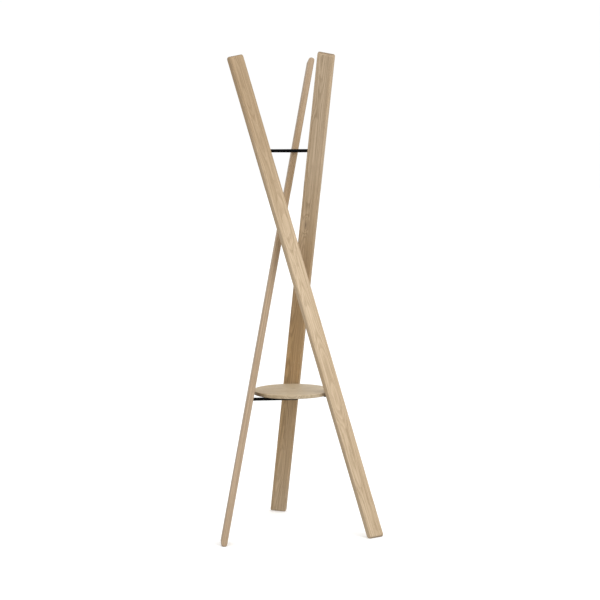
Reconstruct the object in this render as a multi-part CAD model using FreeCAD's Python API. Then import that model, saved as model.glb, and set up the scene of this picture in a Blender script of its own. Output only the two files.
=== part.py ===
"""Standing coat rack: three slanted oak slats held by a steel hanger ring and a round shelf.

Units are millimetres and +Z is up. The rack is laid out about its vertical central axis, around
which everything repeats every 120 degrees, and is then moved so that the origin is the middle of
its footprint, on the floor.
"""
import FreeCAD, Part
import os
from math import cos, radians, sin

Vector = FreeCAD.Vector
UP = Vector(0, 0, 1)

# Slats: the centre line runs from a point on the floor to a point at the top, twisted about the axis.
SLAT_WIDTH = 62.5
SLAT_THICKNESS = 22.5
SLAT_EDGE_RADIUS = 4.0
SLAT_TOP_RADIUS = 10.0
SLAT_FOOT_RADIUS = 10.0
FOOT_CIRCLE_RADIUS = 329.3
FOOT_BEARING = -20.1
TOP_CIRCLE_RADIUS = 207.5
TOP_HEIGHT = 1780.0
TWIST = -151.8
FACE_BEARING = -55.1

# The slats in the order in which they follow each other clockwise, seen from above.
SLAT_TURNS = {"right": 0.0, "left": -120.0, "rear": 120.0}

# Hanger ring: three round bars welded into a triangle against the slats' inner edges.
RING_HEIGHT = 1433.0
BAR_RADIUS = 6.0
BARS = {"front": ("right", "rear"), "back_right": ("rear", "left"), "back_left": ("left", "right")}

# One bolt goes through each slat, edge to edge, into a corner of the ring, under an oak plug.
BOLT_RADIUS = 3.0
BOLT_REACH = 14.0
BOLT_HEAD_RADIUS = 5.0
BOLT_HEAD_LENGTH = 6.0
BOLT_SOCKET_RADIUS = 2.5
BOLT_SOCKET_DEPTH = 3.0
PLUG_RADIUS = 5.5
PLUG_LENGTH = 8.0

# Round shelf.
SHELF_RADIUS = 146.5
SHELF_THICKNESS = 14.0
SHELF_EDGE_RADIUS = 3.0
SHELF_TOP_HEIGHT = 540.0

# Shelf pegs: round bars with a thinner threaded end, screwed into insert nuts in the slats, a
# little to one side of the middle of the slats' width.
PEG_LENGTH = 165.0
PEG_OFF_MIDDLE = 11.0
PEG_END_CHAMFER = 1.0
PEG_THREAD_RADIUS = 4.0
PEG_THREAD_LENGTH = 16.0
INSERT_RADIUS = 5.8
INSERT_LENGTH = 13.0
INSERT_SETBACK = 2.5
INSERT_HOLE_DEPTH = 17.0

# Shelf screws: up through the pegs, countersunk, into the shelf.
SCREW_PLACE = 140.0
SCREW_RADIUS = 2.0
SCREW_HEAD_RADIUS = 3.8
SCREW_HEAD_HEIGHT = 2.0
SCREW_HEAD_RECESS = 1.5
SCREW_BITE = 10.0

# Working allowances: how far a blank runs past the place where it is trimmed.
TRIM = 60.0
RING_SECTOR_REACH = 300.0


def on_circle(radius, bearing, height):
    """A point at a distance from the central axis; the bearing is in degrees, anticlockwise from +X."""
    return Vector(radius * cos(radians(bearing)), radius * sin(radians(bearing)), height)


def unit(vector):
    """The same direction with a length of one."""
    return vector * (1.0 / vector.Length)


def level(vector):
    """The horizontal part of a direction, with a length of one."""
    return unit(Vector(vector.x, vector.y, 0))


class SlatFrame:
    """Where one slat lies: its foot point and its directions along, across and through it."""

    def __init__(self, turn):
        self.foot = on_circle(FOOT_CIRCLE_RADIUS, FOOT_BEARING + turn, 0)
        self.top = on_circle(TOP_CIRCLE_RADIUS, FOOT_BEARING + TWIST + turn, TOP_HEIGHT)
        self.along = unit(self.top - self.foot)
        facing = on_circle(1.0, FACE_BEARING + turn, 0)
        self.through = unit(facing - UP * (facing.dot(self.along) / self.along.z))
        self.across = self.along.cross(self.through)

    def point(self, height, across=0.0, through=0.0):
        """The point at a height on the line that runs along the slat at these offsets."""
        start = self.foot + self.across * across + self.through * through
        return start + self.along * ((height - start.z) / self.along.z)


FRAMES = {name: SlatFrame(turn) for name, turn in SLAT_TURNS.items()}


def rod(start, end, radius):
    """A plain round rod between two points."""
    return Part.makeCylinder(radius, (end - start).Length, start, end - start)


def edges_near(shape, test):
    """The edges whose middle point passes a test."""
    return [edge for edge in shape.Edges if test(edge.CenterOfMass)]


def plain_slat(frame):
    """One slat before drilling: a level foot, both ends rounded over and then all long edges eased."""
    length = (frame.top - frame.foot).Length + TRIM
    side = frame.across * SLAT_WIDTH
    depth = frame.through * SLAT_THICKNESS
    corner = frame.top - (side + depth) * 0.5
    end = Part.makePolygon([corner, corner + side, corner + side + depth, corner + depth, corner])
    blank = Part.Face(end).extrude(frame.along * -length)
    low_corner = Vector(frame.foot.x - 2 * TRIM, frame.foot.y - 2 * TRIM, -4 * TRIM)
    slat = blank.cut(Part.makeBox(4 * TRIM, 4 * TRIM, 4 * TRIM, low_corner))
    is_top = lambda point: on_end_edge(frame, point) and point.z > TOP_HEIGHT / 2
    slat = slat.makeFillet(SLAT_TOP_RADIUS, edges_near(slat, is_top))
    is_foot = lambda point: on_end_edge(frame, point) and point.z < 1.0
    slat = slat.makeFillet(SLAT_FOOT_RADIUS, edges_near(slat, is_foot))
    is_side = lambda point: abs(across_offset(frame, point)) > SLAT_WIDTH / 2 - 0.01
    return slat.makeFillet(SLAT_EDGE_RADIUS, edges_near(slat, is_side))


def across_offset(frame, point):
    """How far a point lies from a slat's middle, across its width."""
    return (point - frame.foot).dot(frame.across)


def on_end_edge(frame, point):
    """True for the middle of an edge that runs across a slat's end, on one of its wide faces."""
    is_end = abs(across_offset(frame, point)) < SLAT_WIDTH / 4
    offset = (point - frame.foot).dot(frame.through)
    return is_end and abs(offset) > SLAT_THICKNESS / 2 - 0.01


def bolt_line(frame):
    """The bolt's axis: a point on the slat's inner edge and the direction in to the ring."""
    rise = frame.across.z * BOLT_REACH / 2
    return frame.point(RING_HEIGHT - rise, SLAT_WIDTH / 2), frame.across


def bolt_hole(frame):
    """The stepped hole through a slat's width for the bolt, its head and its plug."""
    entry, inward = bolt_line(frame)
    outer = entry - inward * SLAT_WIDTH
    step = outer + inward * (PLUG_LENGTH + BOLT_HEAD_LENGTH)
    through = rod(outer, entry + inward * BOLT_REACH, BOLT_RADIUS)
    return through.fuse(rod(outer, step, PLUG_RADIUS))


def hanger_bolt(frame):
    """A socket head bolt whose thread ends inside the ring's corner."""
    entry, inward = bolt_line(frame)
    head_top = entry - inward * (SLAT_WIDTH - PLUG_LENGTH)
    head_end = head_top + inward * BOLT_HEAD_LENGTH
    bolt = rod(head_top, head_end, BOLT_HEAD_RADIUS)
    bolt = bolt.fuse(rod(head_end, entry + inward * BOLT_REACH, BOLT_RADIUS))
    return bolt.cut(rod(head_top, head_top + inward * BOLT_SOCKET_DEPTH, BOLT_SOCKET_RADIUS))


def bolt_plug(frame):
    """The oak plug that closes a bolt's hole, flush with the slat's outer edge."""
    entry, inward = bolt_line(frame)
    outer = entry - inward * SLAT_WIDTH
    return rod(outer, outer + inward * PLUG_LENGTH, PLUG_RADIUS)


def peg_line(frame):
    """The peg's axis: the point where it leaves the slat's inner face and its level direction."""
    height = SHELF_TOP_HEIGHT - SHELF_THICKNESS - BAR_RADIUS
    face = frame.point(height, PEG_OFF_MIDDLE, -SLAT_THICKNESS / 2)
    return face, level(frame.through) * -1.0


def shelf_peg(frame, slat_blank):
    """A bar scribed to the slat's face, with its threaded end inside the slat."""
    face, inward = peg_line(frame)
    end = face + inward * PEG_LENGTH
    bar = rod(face - inward * BAR_RADIUS, end, BAR_RADIUS)
    is_end = lambda point: (point - end).dot(inward) > -0.01
    bar = bar.makeChamfer(PEG_END_CHAMFER, edges_near(bar, is_end))
    thread = rod(face - inward * PEG_THREAD_LENGTH, face + inward, PEG_THREAD_RADIUS)
    return bar.cut(slat_blank).fuse(thread).removeSplitter()


def peg_insert(frame):
    """The insert nut that the peg's thread runs in."""
    face, inward = peg_line(frame)
    mouth = face - inward * INSERT_SETBACK
    back = mouth - inward * INSERT_LENGTH
    return rod(mouth, back, INSERT_RADIUS).cut(rod(mouth, back, PEG_THREAD_RADIUS))


def insert_hole(frame):
    """The blind hole for the insert nut, from the slat's inner face."""
    face, inward = peg_line(frame)
    return rod(face + inward * INSERT_SETBACK, face - inward * INSERT_HOLE_DEPTH, INSERT_RADIUS)


def shelf_screw(frame):
    """A countersunk wood screw, from under a peg up into the shelf."""
    face, inward = peg_line(frame)
    centre = face + inward * SCREW_PLACE
    head = centre - UP * (BAR_RADIUS - SCREW_HEAD_RECESS)
    cone = Part.makeCone(SCREW_HEAD_RADIUS, SCREW_RADIUS, SCREW_HEAD_HEIGHT, head, UP)
    tip = centre + UP * (BAR_RADIUS + SCREW_BITE)
    return cone.fuse(rod(head, tip, SCREW_RADIUS)).removeSplitter()


def screw_recess(frame):
    """The sunk mouth under a peg that the screw's head goes in through."""
    face, inward = peg_line(frame)
    centre = face + inward * SCREW_PLACE
    low = centre - UP * BAR_RADIUS
    return rod(low, low + UP * SCREW_HEAD_RECESS, SCREW_HEAD_RADIUS)


def hanger_bar(start_frame, end_frame, slat_blanks):
    """One side of the ring: mitred to its neighbours and scribed to the slats' inner edges."""
    start = start_frame.point(RING_HEIGHT, SLAT_WIDTH / 2)
    end = end_frame.point(RING_HEIGHT, SLAT_WIDTH / 2)
    direction = unit(end - start)
    bar = rod(start - direction * TRIM, end + direction * TRIM, BAR_RADIUS)
    centre = Vector(0, 0, RING_HEIGHT - 2 * BAR_RADIUS)
    sector = Part.makePolygon([
        centre,
        centre + level(start) * RING_SECTOR_REACH,
        centre + level(end) * RING_SECTOR_REACH,
        centre,
    ])
    bar = bar.common(Part.Face(sector).extrude(UP * (4 * BAR_RADIUS)))
    for blank in slat_blanks:
        bar = bar.cut(blank)
    return largest_solid(bar)


def largest_solid(shape):
    """The biggest piece of a trimmed shape, without the tip left beyond a slat."""
    return max(shape.Solids, key=lambda solid: solid.Volume)


def shelf_board():
    """The round shelf with softened edges."""
    low = Vector(0, 0, SHELF_TOP_HEIGHT - SHELF_THICKNESS)
    board = Part.makeCylinder(SHELF_RADIUS, SHELF_THICKNESS, low)
    is_rim = lambda point: abs(point.x) < 1.0 and abs(point.y) < 1.0
    return board.makeFillet(SHELF_EDGE_RADIUS, edges_near(board, is_rim))


def build_rack():
    """All the pieces, by name, about the central axis."""
    pieces = {}
    blanks = {name: plain_slat(frame) for name, frame in FRAMES.items()}
    board = shelf_board()
    bolts = [hanger_bolt(frame) for frame in FRAMES.values()]
    for name, frame in FRAMES.items():
        screw = shelf_screw(frame)
        pieces["slat_" + name] = blanks[name].cut(bolt_hole(frame)).cut(insert_hole(frame))
        pieces["hanger_bolt_" + name] = hanger_bolt(frame)
        pieces["bolt_plug_" + name] = bolt_plug(frame)
        peg = shelf_peg(frame, blanks[name])
        pieces["shelf_peg_" + name] = peg.cut(screw).cut(screw_recess(frame))
        pieces["peg_insert_" + name] = peg_insert(frame)
        pieces["shelf_screw_" + name] = screw
        board = board.cut(screw)
    pieces["shelf_board"] = board
    for name, (start, end) in BARS.items():
        bar = hanger_bar(FRAMES[start], FRAMES[end], (blanks[start], blanks[end]))
        for bolt in bolts:
            bar = bar.cut(bolt)
        pieces["hanger_bar_" + name] = bar
    return pieces


def footprint_middle(pieces):
    """The middle of the whole rack's box in plan."""
    box = Part.makeCompound(list(pieces.values())).optimalBoundingBox(False, False)
    return Vector((box.XMin + box.XMax) / 2, (box.YMin + box.YMax) / 2, 0)


def main():
    """Build the pieces, move them to the origin and write one STEP file for each."""
    os.makedirs("parts", exist_ok=True)
    pieces = build_rack()
    middle = footprint_middle(pieces)
    print("central axis at", -middle)
    for name, piece in pieces.items():
        piece.translate(-middle)
        print(name, "valid" if piece.isValid() else "BAD", len(piece.Solids), round(piece.Volume))
        piece.exportStep(os.path.join("parts", name + ".step"))


main()
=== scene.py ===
"""Looks for the standing coat rack: oak, powder-coated steel, a pale floor and soft light."""
import math

import bpy
from mathutils import Matrix, Vector


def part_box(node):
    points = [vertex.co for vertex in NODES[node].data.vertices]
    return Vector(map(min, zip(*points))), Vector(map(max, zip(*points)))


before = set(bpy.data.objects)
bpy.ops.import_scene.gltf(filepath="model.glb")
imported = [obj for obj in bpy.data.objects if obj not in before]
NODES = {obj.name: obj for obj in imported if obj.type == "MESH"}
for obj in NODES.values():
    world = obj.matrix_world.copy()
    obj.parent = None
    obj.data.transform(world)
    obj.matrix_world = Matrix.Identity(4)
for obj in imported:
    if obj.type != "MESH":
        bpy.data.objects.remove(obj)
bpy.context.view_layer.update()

SLATS = ("right", "left", "rear")
UP = Vector((0, 0, 1))


# ---------------------------------------------------------------- places taken from the frame

SQUARE_LIMIT = 0.02


def box_middle(node):
    """The middle of a CAD node's box."""
    low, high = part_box(node)
    return (low + high) / 2


SHELF_MIDDLE = box_middle("shelf_board")
AXIS = Vector((SHELF_MIDDLE.x, SHELF_MIDDLE.y, 0))


class SlatAxes:
    """One slat's own directions and middle, read from its flat faces."""

    def __init__(self, node):
        mesh = NODES[node].data
        wide = max(mesh.polygons, key=lambda face: face.area)
        self.through = wide.normal.copy()
        sides = [face for face in mesh.polygons if abs(face.normal.dot(self.through)) < SQUARE_LIMIT]
        self.across = max(sides, key=lambda face: face.area).normal.copy()
        self.along = self.across.cross(self.through).normalized()
        if self.along.z < 0:
            self.along.negate()
            self.across.negate()
        corners = [vertex.co for vertex in mesh.vertices]
        self.middle = Vector([
            (min(c.dot(a) for c in corners) + max(c.dot(a) for c in corners)) / 2
            for a in (self.across, self.through, self.along)
        ])


SLAT_AXES = {name: SlatAxes("slat_" + name) for name in SLATS}


# ---------------------------------------------------------------- shader building

class Tree:
    """A short way to add nodes and links to one node tree."""

    def __init__(self, tree):
        self.tree = tree

    def add(self, kind, inputs=None, **settings):
        """A new node; inputs are values or sockets, by name or number."""
        node = self.tree.nodes.new(kind)
        for name, value in settings.items():
            setattr(node, name, value)
        for key, value in (inputs or {}).items():
            self.set(node.inputs[key], value)
        return node

    def set(self, socket, value):
        """Link a socket, or give it a value."""
        if isinstance(value, bpy.types.NodeSocket):
            self.tree.links.new(value, socket)
        else:
            socket.default_value = value

    def math(self, operation, *values, clamp=False):
        """The result of a scalar operation."""
        inputs = dict(enumerate(values))
        return self.add("ShaderNodeMath", inputs, operation=operation, use_clamp=clamp).outputs[0]

    def weighted_sum(self, *terms):
        """The sum of values, each times its own weight."""
        total = self.math("MULTIPLY", *terms[0])
        for term in terms[1:]:
            total = self.math("ADD", total, self.math("MULTIPLY", *term))
        return total

    def vector(self, operation, *values, output=0):
        """The result of a vector operation."""
        inputs = dict(enumerate(values))
        return self.add("ShaderNodeVectorMath", inputs, operation=operation).outputs[output]

    def dot(self, first, second):
        """The dot product of two vectors, as a number."""
        return self.vector("DOT_PRODUCT", first, second, output=1)

    def length(self, vector):
        """The length of a vector."""
        return self.vector("LENGTH", vector, output=1)

    def scaled(self, vector, factors):
        """A vector with each part multiplied by its own factor."""
        return self.vector("MULTIPLY", vector, factors)

    def noise(self, vector, scale=1.0, detail=2.0, roughness=0.5, output=0):
        """Smooth noise from 0 to 1, about 0.5."""
        inputs = {"Vector": vector, "Scale": scale, "Detail": detail, "Roughness": roughness}
        return self.add("ShaderNodeTexNoise", inputs).outputs[output]

    def shift(self, grain, factors, detail):
        """Smooth noise in three directions, about 0."""
        noise = self.noise(self.scaled(grain, factors), detail=detail, output=1)
        return self.vector("SUBTRACT", noise, (0.5, 0.5, 0.5))

    def remap(self, value, low, high, to_low=0.0, to_high=1.0):
        """A smooth step from one range to another."""
        inputs = {0: value, 1: low, 2: high, 3: to_low, 4: to_high}
        return self.add("ShaderNodeMapRange", inputs, interpolation_type="SMOOTHSTEP").outputs[0]

    def contrast(self, value, spread):
        """A smooth step from 0 to 1, over the given spread to each side of 0.5."""
        return self.remap(value, 0.5 - spread, 0.5 + spread)

    def mix(self, factor, first, second, blend="MIX"):
        """Two colours mixed."""
        inputs = {0: factor, 6: first, 7: second}
        return self.add("ShaderNodeMix", inputs, data_type="RGBA", blend_type=blend).outputs[2]


def rgb(red, green, blue):
    """A colour given as display values from 0 to 255, in the renderer's linear values."""
    def linear(value):
        value = value / 255
        return value / 12.92 if value <= 0.04045 else ((value + 0.055) / 1.055) ** 2.4
    return (linear(red), linear(green), linear(blue), 1.0)


def new_material(name):
    """A new node material, its tree and its shader."""
    material = bpy.data.materials.new(name)
    material.use_nodes = True
    tree = Tree(material.node_tree)
    shader = material.node_tree.nodes["Principled BSDF"]
    return material, tree, shader


def dress(node, material):
    """Give a CAD node its material."""
    piece = NODES[node]
    piece.data.materials.clear()
    piece.data.materials.append(material)


# ---------------------------------------------------------------- oak

# Lengths are in metres. Grains are repeats per metre across, through and along the board.
RING_WIDTH = 0.0019
RING_DARKENING = (0.0, 0.12)
RING_FADING = (0.25, 0.75)
WANDER_GRAIN = (5, 5, 1.7)
WANDER = (0.046, 0.046, 0)
WAVER_GRAIN = (70, 70, 12)
WAVER = (0.0022, 0.0022, 0)
YEARS_PER_METRE = 240.0
FIBRE_GRAIN = (900, 900, 6)
STREAK_GRAIN = (300, 300, 2.4)
BAND_GRAIN = (48, 48, 1.1)
PORE_GRAIN = (2300, 2300, 34)
CLOUD_GRAIN = (18, 18, 1.4)
RAY_GRAIN = (110, 700, 40)

# How strongly each kind of figure darkens the wood, and over what spread of its noise.
YEARS_TONE, YEARS_SPREAD = 0.34, 0.16
STREAK_TONE, STREAK_SPREAD = 0.50, 0.14
BAND_TONE, BAND_SPREAD = 0.10, 0.16
EARLY_TONE = 0.29
FIBRE_TONE, FIBRE_SPREAD = 0.20, 0.15
WHOLE_TONE = 0.85

# Peak strength of the warm tint, which is partly painted shade where other parts shadow a board.
WARM_SHADE_PEAK = 0.70
CLOUD_WARMTH, CLOUD_RANGE = 0.20, (0.42, 0.68)
RAY_PALENESS, RAY_RANGE = 0.20, (0.66, 0.76)
PORE_DARKNESS, PORE_RANGE = 0.42, (0.54, 0.70)
LATE_PORES = 0.12
PORE_COLOR = rgb(98, 72, 46)

KNOT_SHAPE = (1, 0.4, 0.28)
KNOT_REACH = 0.015
KNOT_PUSH = 0.0060
KNOT_HEART = (0.0010, 0.0065)
KNOT_DARKNESS = 0.52
KNOT_COLOR = rgb(84, 62, 46)

# End grain is darker wood; the same darkness and colour also lay painted shade on a board's sides.
END_RANGE = (0.45, 0.95)
END_AND_SHADE_DARKNESS = 0.60
END_AND_SHADE_COLOR = rgb(104, 80, 54)

ROUGHNESS = 0.50
FIBRE_ROUGHNESS, FIBRE_ROUGH_SPREAD = 0.14, 0.20
PORE_ROUGHNESS = 0.15
FIBRE_HEIGHT = 0.35
BUMP_DEPTH = 0.00025

OAK_INPUTS = {
    "Grain": "Vector", "Pith": "Vector", "Knot": "Vector", "Warm shade at": "Float", "Warm shade reach": "Float",
    "End": "Float", "Pale": "Color", "Deep": "Color", "Warm tone and shade": "Color",
}
OAK_OUTPUTS = {"Color": "Color", "Roughness": "Float", "Height": "Float"}


def oak_group():
    """Solid oak in grain coordinates in metres: X and Y across the board, Z along it."""
    group = bpy.data.node_groups.new("oak", "ShaderNodeTree")
    for way, sockets in (("INPUT", OAK_INPUTS), ("OUTPUT", OAK_OUTPUTS)):
        for name, kind in sockets.items():
            group.interface.new_socket(name, in_out=way, socket_type="NodeSocket" + kind)
    t = Tree(group)
    given = t.add("NodeGroupInput").outputs
    grain = given["Grain"]
    along = t.add("ShaderNodeSeparateXYZ", {0: grain}).outputs[2]

    # Growth rings round a pith that wanders, so that flat faces show long arches; a knot pushes them aside.
    place = t.vector("SUBTRACT", grain, given["Pith"])
    place = t.vector("ADD", place, t.scaled(t.shift(grain, WANDER_GRAIN, 2.0), WANDER))
    place = t.vector("ADD", place, t.scaled(t.shift(grain, WAVER_GRAIN, 3.0), WAVER))
    knot = t.length(t.scaled(t.vector("SUBTRACT", grain, given["Knot"]), KNOT_SHAPE))
    radius = t.length(t.scaled(place, (1, 1, 0)))
    radius = t.math("ADD", radius, t.remap(knot, 0.0, KNOT_REACH, KNOT_PUSH, 0.0))
    phase = t.math("FRACT", t.math("DIVIDE", radius, RING_WIDTH))
    early = t.math("MULTIPLY", t.remap(phase, *RING_DARKENING), t.remap(phase, *RING_FADING, 1.0, 0.0))
    year = t.add("ShaderNodeCombineXYZ", {0: t.math("MULTIPLY", radius, YEARS_PER_METRE)}).outputs[0]
    years = t.noise(year, detail=3.0, roughness=0.6)

    # Fibres, pores, rays, broad changes of tone, and painted shade along the boards and on their sides.
    fibre = t.noise(t.scaled(grain, FIBRE_GRAIN), detail=4.0, roughness=0.65)
    streak = t.noise(t.scaled(grain, STREAK_GRAIN), detail=3.0, roughness=0.6)
    band = t.noise(t.scaled(grain, BAND_GRAIN), detail=2.0)
    pores = t.noise(t.scaled(grain, PORE_GRAIN), detail=2.0, roughness=0.6)
    pore = t.math("MULTIPLY", t.remap(pores, *PORE_RANGE), t.math("ADD", LATE_PORES, early))
    cloud = t.noise(t.scaled(grain, CLOUD_GRAIN), detail=2.0)
    ray = t.remap(t.noise(t.scaled(grain, RAY_GRAIN), detail=1.0), *RAY_RANGE)

    tone = t.weighted_sum(
        (t.contrast(years, YEARS_SPREAD), YEARS_TONE),
        (t.contrast(streak, STREAK_SPREAD), STREAK_TONE),
        (t.contrast(band, BAND_SPREAD), BAND_TONE),
        (early, EARLY_TONE),
        (t.contrast(fibre, FIBRE_SPREAD), FIBRE_TONE),
    )
    color = t.mix(t.math("MULTIPLY", tone, WHOLE_TONE), given["Pale"], given["Deep"])
    # A warm tint over part of the board's length: partly the board's own tone, partly painted shade where
    # the other parts shadow the board.
    away = t.math("ABSOLUTE", t.math("SUBTRACT", along, given["Warm shade at"]))
    away = t.math("DIVIDE", away, given["Warm shade reach"])
    clouds = t.math("MULTIPLY", t.remap(cloud, *CLOUD_RANGE), CLOUD_WARMTH)
    warm = t.math("ADD", t.remap(away, 0.0, 1.0, WARM_SHADE_PEAK, 0.0), clouds)
    color = t.mix(warm, color, given["Warm tone and shade"], "MULTIPLY")
    color = t.mix(t.math("MULTIPLY", ray, RAY_PALENESS), color, given["Pale"])
    color = t.mix(t.math("MULTIPLY", pore, PORE_DARKNESS, clamp=True), color, PORE_COLOR)
    color = t.mix(t.remap(knot, *KNOT_HEART, KNOT_DARKNESS, 0.0), color, KNOT_COLOR)
    # End grain takes a darker tone of its own; the same mix also lays painted shade on a board's sides, by
    # its rim value.
    color = t.mix(t.math("MULTIPLY", given["End"], END_AND_SHADE_DARKNESS), color, END_AND_SHADE_COLOR)

    fibre_rough = t.math("MULTIPLY", t.contrast(fibre, FIBRE_ROUGH_SPREAD), FIBRE_ROUGHNESS)
    rough = t.math("ADD", ROUGHNESS, fibre_rough)
    rough = t.math("ADD", rough, t.math("MULTIPLY", pore, PORE_ROUGHNESS))
    height = t.math("SUBTRACT", t.math("MULTIPLY", fibre, FIBRE_HEIGHT), pore)
    t.add("NodeGroupOutput", {"Color": color, "Roughness": rough, "Height": height})
    return group


OAK = oak_group()
NO_KNOT = (1.0, 0.0, 0.0)


class Board:
    """How one board was cut: its grain directions, where the pith runs, and its tones.

    The warm tint lies over part of the board's length, partly the board's own tone and partly painted shade
    where other parts shadow it: where it is strongest, and how far it reaches.
    The rim value lays painted shade on the sides, in the darker tone of end grain, from 0 to 1.
    """

    def __init__(self, directions, middle, pith, tones, warm_at, warm_reach, knot=NO_KNOT, rim_shade=0.0):
        pale, deep, warm = tones
        self.directions = directions
        self.middle = middle
        self.rim_shade = rim_shade
        self.inputs = {
            "Pith": pith, "Knot": knot, "Pale": pale, "Deep": deep, "Warm tone and shade": warm,
            "Warm shade at": warm_at, "Warm shade reach": warm_reach,
        }


def oak_material(name, board, shift=(0.0, 0.0, 0.0)):
    """Oak cut from a board; shift moves through the board so that no two pieces are alike."""
    material, t, shader = new_material(name)
    through, along = board.directions[1:]
    place = t.add("ShaderNodeTexCoord").outputs["Object"]
    parts = [t.dot(place, direction) for direction in board.directions]
    grain = t.add("ShaderNodeCombineXYZ", dict(enumerate(parts))).outputs[0]
    grain = t.vector("SUBTRACT", grain, board.middle - Vector(shift))
    normal = t.add("ShaderNodeNewGeometry").outputs["Normal"]
    end_and_shade = t.remap(t.math("ABSOLUTE", t.dot(normal, along)), *END_RANGE)
    # Painted shade: the sides (the shelf's rim) are darkened towards the end-grain tone, as far as the
    # board's rim value says.
    rim_shade_mask = t.math("SUBTRACT", 1.0, t.math("ABSOLUTE", t.dot(normal, through)))
    end_and_shade = t.math("MAXIMUM", end_and_shade, t.math("MULTIPLY", rim_shade_mask, board.rim_shade))
    group = t.add("ShaderNodeGroup", node_tree=OAK)
    for key, value in {"Grain": grain, "End": end_and_shade, **board.inputs}.items():
        t.set(group.inputs[key], value)
    bump = t.add("ShaderNodeBump", {"Height": group.outputs["Height"], "Distance": BUMP_DEPTH})
    bump.inputs["Strength"].default_value = 1.0
    t.set(shader.inputs["Base Color"], group.outputs["Color"])
    t.set(shader.inputs["Roughness"], group.outputs["Roughness"])
    t.set(shader.inputs["Normal"], bump.outputs[0])
    shader.inputs["Specular IOR Level"].default_value = 0.5
    return material


def slat_board(name, **cut):
    """The board that a slat is cut from."""
    axes = SLAT_AXES[name]
    return Board((axes.across, axes.through, axes.along), axes.middle, **cut)


# Tones are the pale wood, the deep wood and the warm tint, which is partly painted shade.
BOARDS = {
    "right": slat_board(
        "right", pith=(0.006, -0.050, 0), warm_at=0.90, warm_reach=0.85,
        tones=(rgb(211, 189, 160), rgb(166, 143, 110), rgb(212, 200, 181))),
    "left": slat_board(
        "left", pith=(-0.012, 0.052, 0), warm_at=0.42, warm_reach=0.66,
        tones=(rgb(194, 171, 146), rgb(150, 127, 101), rgb(241, 229, 199))),
    "rear": slat_board(
        "rear", pith=(-0.012, 0.046, 0), warm_at=-0.30, warm_reach=0.90, knot=(-0.0060, -0.0113, 0.283),
        tones=(rgb(205, 182, 153), rgb(154, 132, 103), rgb(240, 221, 182))),
}
# The shelf's rim carries painted shade, so that it reads darker than the top.
SHELF_BOARD = Board(
    (Vector((0, 1, 0)), UP, Vector((1, 0, 0))), Vector((SHELF_MIDDLE.y, SHELF_MIDDLE.z, SHELF_MIDDLE.x)),
    pith=(0.020, -0.045, 0), warm_at=-0.1, warm_reach=0.15, rim_shade=0.31,
    tones=(rgb(225, 207, 178), rgb(156, 138, 109), rgb(240, 234, 222)))
PLUG_SHIFT = (0.013, 0.006, 0.09)

for slat in SLATS:
    dress("slat_" + slat, oak_material("oak_slat_" + slat, BOARDS[slat]))
    dress("bolt_plug_" + slat, oak_material("oak_plug_" + slat, BOARDS[slat], PLUG_SHIFT))
dress("shelf_board", oak_material("oak_shelf", SHELF_BOARD))


# ---------------------------------------------------------------- metals

SMEAR_SCALE = 38.0
SMEAR_RANGE = (0.35, 0.75)
SMEAR_ROUGHNESS = 0.22
SMEAR_LIGHTENING = 1.6


def steel_material(name, color, metallic, roughness, specular, peel_scale, peel_depth):
    """Coated or plated metal with a fine uneven surface."""
    material, t, shader = new_material(name)
    place = t.add("ShaderNodeTexCoord").outputs["Object"]
    peel = t.noise(place, peel_scale, 2.0)
    smear = t.noise(place, SMEAR_SCALE, 3.0)
    uneven = t.math("MULTIPLY", t.math("SUBTRACT", smear, 0.5), SMEAR_ROUGHNESS)
    lighter = tuple(SMEAR_LIGHTENING * part for part in color[:3]) + (1.0,)
    bump = t.add("ShaderNodeBump", {"Height": peel, "Distance": peel_depth})
    t.set(shader.inputs["Base Color"], t.mix(t.remap(smear, *SMEAR_RANGE), color, lighter))
    t.set(shader.inputs["Roughness"], t.math("ADD", roughness, uneven))
    t.set(shader.inputs["Normal"], bump.outputs[0])
    shader.inputs["Metallic"].default_value = metallic
    shader.inputs["Specular IOR Level"].default_value = specular
    return material


BLACK = steel_material(
    "black_coat", rgb(5, 5, 6), metallic=0.0, roughness=0.5, specular=0.05,
    peel_scale=1600.0, peel_depth=0.00006)
ZINC = steel_material(
    "zinc_plate", rgb(160, 160, 156), metallic=1.0, roughness=0.34, specular=0.5,
    peel_scale=900.0, peel_depth=0.00003)
BRASS = steel_material(
    "turned_brass", rgb(196, 160, 92), metallic=1.0, roughness=0.32, specular=0.5,
    peel_scale=900.0, peel_depth=0.00003)

for bar in ("front", "back_left", "back_right"):
    dress("hanger_bar_" + bar, BLACK)
for slat in SLATS:
    dress("shelf_peg_" + slat, BLACK)
    dress("hanger_bolt_" + slat, ZINC)
    dress("shelf_screw_" + slat, ZINC)
    dress("peg_insert_" + slat, BRASS)


# ---------------------------------------------------------------- floor

FLOOR_HALF = 60.0
FLOOR_COLOR = (0.98, 0.98, 0.975, 1)
FLOOR_ROUGHNESS = 0.9
FLOOR_SPECULAR = 0.1
FLOOR_GLOW = 0.10


def build_floor():
    """A plain pale floor, far wider than any view of the rack, that throws no light back on it."""
    half = FLOOR_HALF
    mesh = bpy.data.meshes.new("floor")
    corners = [(-half, -half, 0), (half, -half, 0), (half, half, 0), (-half, half, 0)]
    mesh.from_pydata([Vector(c) for c in corners], [], [(0, 1, 2, 3)])
    floor = bpy.data.objects.new("floor", mesh)
    bpy.context.scene.collection.objects.link(floor)
    material, _, shader = new_material("pale_floor")
    shader.inputs["Base Color"].default_value = FLOOR_COLOR
    shader.inputs["Roughness"].default_value = FLOOR_ROUGHNESS
    shader.inputs["Specular IOR Level"].default_value = FLOOR_SPECULAR
    shader.inputs["Emission Color"].default_value = (1, 1, 1, 1)
    shader.inputs["Emission Strength"].default_value = FLOOR_GLOW
    mesh.materials.append(material)
    floor.visible_diffuse = False
    floor.visible_glossy = False


# ---------------------------------------------------------------- light

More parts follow.
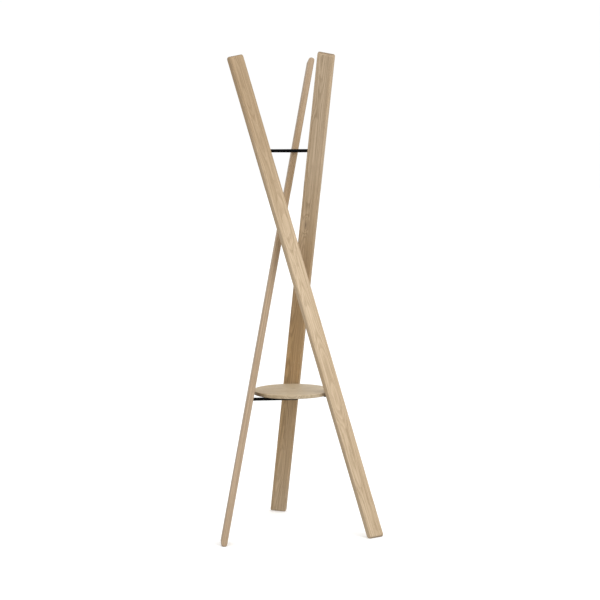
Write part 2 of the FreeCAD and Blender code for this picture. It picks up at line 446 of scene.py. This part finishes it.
ZENITH_LIGHT = 0.92
HORIZON_LIGHT = 1.02
BELOW_LIGHT = 0.50
RISE_TO_ZENITH = (0.20, 0.50)
FALL_TO_BELOW = (-0.16, -0.07)

SUN_FROM = Vector((0.46, -0.60, 0.66))
SUN_ENERGY = 0.90
SUN_ANGLE = math.radians(100)

LIT_HEIGHT = 0.85
SOFT_LIGHTS = (
    # name, place from the rack's lit middle, width, power
    ("fill", Vector((-2.6, -1.1, 0.8)), 1.4, 8.5),
    ("key", Vector((1.4, -1.65, 0.70)), 1.0, 13.5),
)


def build_surroundings():
    """A white band round the horizon, dimmer above and below, as in a white studio."""
    world = bpy.data.worlds.new("studio")
    bpy.context.scene.world = world
    world.use_nodes = True
    t = Tree(world.node_tree)
    sky = world.node_tree.nodes["Background"]
    direction = t.add("ShaderNodeTexCoord").outputs["Generated"]
    height = t.add("ShaderNodeSeparateXYZ", {0: direction}).outputs[2]
    above = t.remap(height, *RISE_TO_ZENITH, HORIZON_LIGHT, ZENITH_LIGHT)
    below = t.remap(height, *FALL_TO_BELOW, BELOW_LIGHT - HORIZON_LIGHT, 0.0)
    parts = dict.fromkeys(range(3), t.math("ADD", above, below))
    t.set(sky.inputs["Color"], t.add("ShaderNodeCombineColor", parts).outputs[0])
    sky.inputs["Strength"].default_value = 1.0


def area_light(name, place, target, size, power):
    """A soft square light aimed at a point."""
    data = bpy.data.lights.new(name, "AREA")
    data.size = size
    data.energy = power
    light = bpy.data.objects.new(name, data)
    light.location = place
    light.rotation_euler = (target - place).to_track_quat("-Z", "Y").to_euler()
    bpy.context.scene.collection.objects.link(light)


def build_light():
    """A very soft sun and two soft lights, the stronger at the front right."""
    data = bpy.data.lights.new("sun", "SUN")
    data.energy = SUN_ENERGY
    data.angle = SUN_ANGLE
    sun = bpy.data.objects.new("sun", data)
    sun.rotation_euler = SUN_FROM.to_track_quat("Z", "Y").to_euler()
    bpy.context.scene.collection.objects.link(sun)
    middle = AXIS + UP * LIT_HEIGHT
    for name, offset, size, power in SOFT_LIGHTS:
        area_light(name, middle + offset, middle, size, power)


# ---------------------------------------------------------------- camera

CAMERA_DISTANCE = 5.6035
CAMERA_HEIGHT = 1.4043
CAMERA_PITCH = 5.37
CAMERA_YAW = 0.32
CAMERA_ROLL = -0.20
CAMERA_LENS = 90.3
SENSOR_WIDTH = 36.0
CLIP_END = 200.0


def build_camera():
    """A long lens at chest height, tilted slightly down."""
    data = bpy.data.cameras.new("camera")
    data.lens = CAMERA_LENS
    data.sensor_width = SENSOR_WIDTH
    data.clip_end = CLIP_END
    camera = bpy.data.objects.new("camera", data)
    camera.location = AXIS + Vector((0, -CAMERA_DISTANCE, CAMERA_HEIGHT))
    turn = Matrix.Rotation(math.radians(-CAMERA_YAW), 4, "Z")
    tilt = Matrix.Rotation(math.radians(90 - CAMERA_PITCH), 4, "X")
    roll = Matrix.Rotation(math.radians(CAMERA_ROLL), 4, "Z")
    camera.rotation_euler = (turn @ tilt @ roll).to_euler()
    bpy.context.scene.collection.objects.link(camera)
    bpy.context.scene.camera = camera


build_floor()
build_surroundings()
build_light()
build_camera()
bpy.context.scene.view_settings.view_transform = "Standard"
